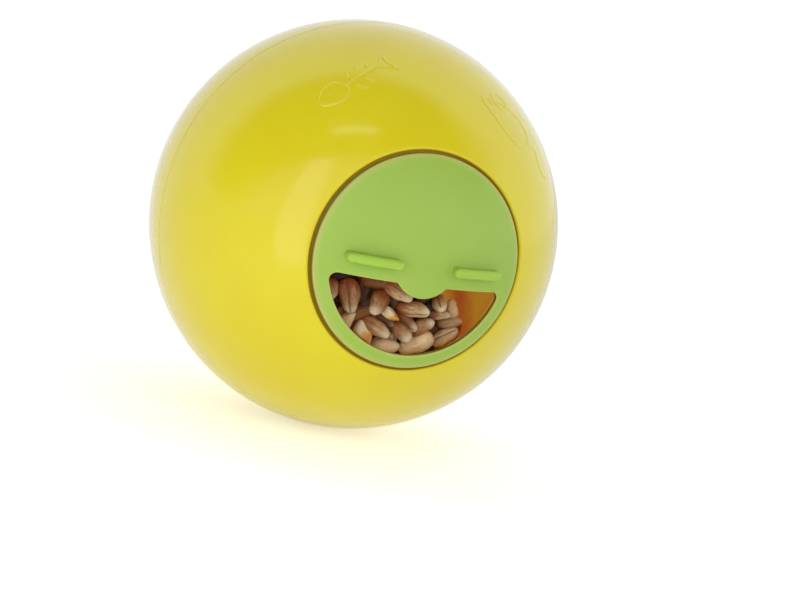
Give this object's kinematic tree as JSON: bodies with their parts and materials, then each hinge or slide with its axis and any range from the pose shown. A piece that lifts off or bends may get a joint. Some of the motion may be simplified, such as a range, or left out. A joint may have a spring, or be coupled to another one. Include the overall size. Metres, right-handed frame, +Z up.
{
  "type": "treat dispensing ball",
  "caption": "Hollow pet treat ball in two halves, with a domed dial whose half-moon window turns over a matching gate to set how easily treats fall out.",
  "frame": {"origin": "the point where the ball touches the floor, straight below the ball's centre", "axes": "+Z up; -Y out of the dial along its axis; +X to the right as seen by someone facing the dial; the open window is below the dial's axis"},
  "size_m": [0.075, 0.077, 0.075],
  "materials": {
    "shell_plastic": "glossy, slightly translucent moulded plastic",
    "dial_plastic": "satin gloss moulded plastic",
    "ring_rubber": "matt",
    "pivot_steel": "zinc plated"
  },
  "bodies": {
    "shell": {"front_shell": "shell_plastic", "rear_shell": "shell_plastic"},
    "dial": {"dial": "dial_plastic", "friction_ring": "ring_rubber", "pivot_washer": "pivot_steel", "pivot_screw": "pivot_steel"}
  },
  "joints": [
    {"name": "dial_turn", "type": "hinge", "parent": "shell", "child": "dial", "pos_m": [0, -0.0376, 0.0375], "axis": [0, -1, 0], "continuous": true}
  ]
}
